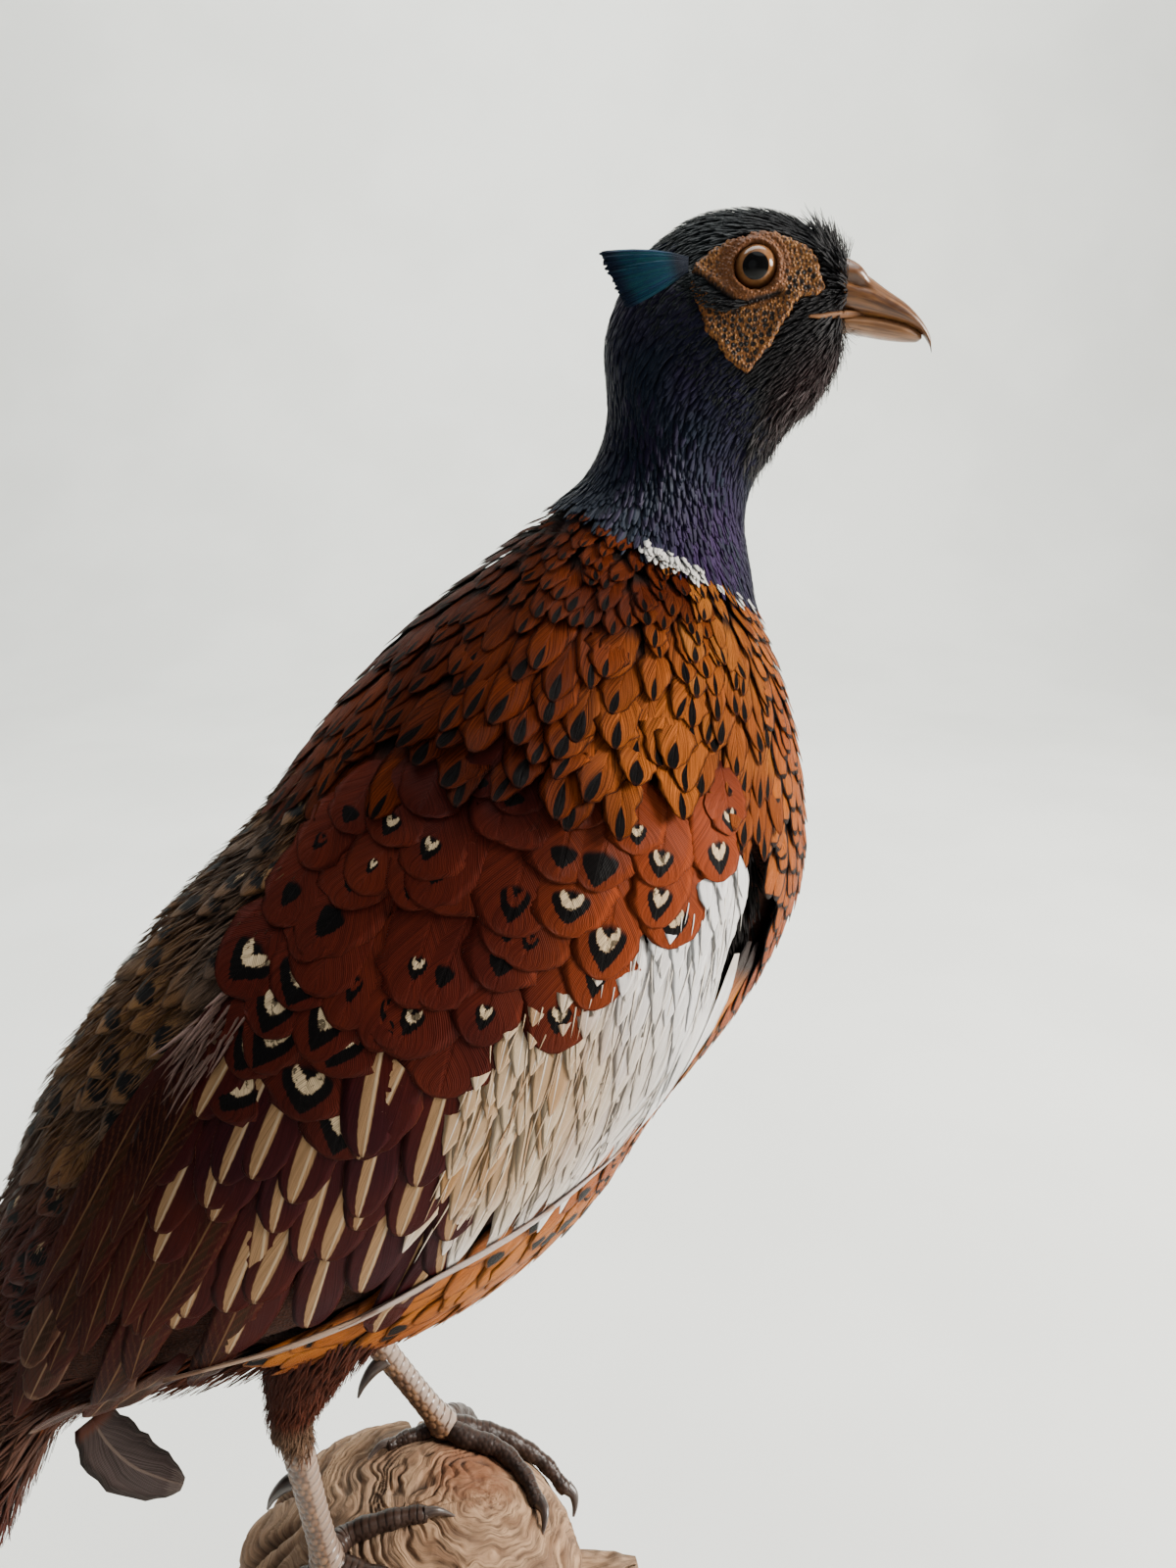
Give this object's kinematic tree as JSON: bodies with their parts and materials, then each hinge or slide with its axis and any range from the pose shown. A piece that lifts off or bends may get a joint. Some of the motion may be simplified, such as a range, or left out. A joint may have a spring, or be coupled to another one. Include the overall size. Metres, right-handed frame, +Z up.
{
  "type": "mounted pheasant",
  "caption": "Still life-size taxidermy cock pheasant with its head turned right, standing on an upright driftwood stump.",
  "frame": {"origin": "centre of the flat foot of the driftwood stump", "axes": "+X the way the bird's body faces, +Y its left, +Z up"},
  "size_m": [0.5049, 0.1679, 0.6985],
  "materials": {
    "head_feathers": "matt black and blue-green head feathers with a dried ochre face patch",
    "neck_feathers": "close blue and purple neck feathers with a soft sheen",
    "body_feathers": "copper and chestnut feathers with black tips",
    "wing_feathers": "maroon and pale buff wing feathers",
    "tail_feathers": "olive-brown barred tail feathers",
    "ear_feathers": "blue-green ear feathers",
    "leg_skin": "dried scaly skin",
    "horn": "semi-matt horn",
    "eye_glass": "polished glass eye",
    "driftwood": "weathered bare wood"
  },
  "bodies": {
    "root": {"bill_lower": "horn", "bill_upper": "horn", "claw_hind_left": "horn", "claw_hind_right": "horn", "claw_inner_left": "horn", "claw_inner_right": "horn", "claw_middle_left": "horn", "claw_middle_right": "horn", "claw_outer_left": "horn", "claw_outer_right": "horn", "driftwood": "driftwood", "driftwood_stub": "driftwood", "ear_tuft_left": "ear_feathers", "ear_tuft_right": "ear_feathers", "eye_left": "eye_glass", "eye_right": "eye_glass", "head": "head_feathers", "loose_feather": "tail_feathers", "neck": "neck_feathers", "shank_left": "leg_skin", "shank_right": "leg_skin", "spur_left": "horn", "spur_right": "horn", "tail_central": "tail_feathers", "tail_coverts": "tail_feathers", "tail_inner_left": "tail_feathers", "tail_inner_right": "tail_feathers", "tail_middle_left": "tail_feathers", "tail_middle_right": "tail_feathers", "tail_outer_left": "tail_feathers", "tail_outer_right": "tail_feathers", "thigh_left": "body_feathers", "thigh_right": "body_feathers", "toe_hind_left": "leg_skin", "toe_hind_right": "leg_skin", "toe_inner_left": "leg_skin", "toe_inner_right": "leg_skin", "toe_middle_left": "leg_skin", "toe_middle_right": "leg_skin", "toe_outer_left": "leg_skin", "toe_outer_right": "leg_skin", "trunk": "body_feathers", "wing_coverts_left": "wing_feathers", "wing_coverts_right": "wing_feathers", "wing_primaries_left": "wing_feathers", "wing_primaries_right": "wing_feathers", "wing_secondaries_left": "wing_feathers", "wing_secondaries_right": "wing_feathers"}
  },
  "joints": []
}
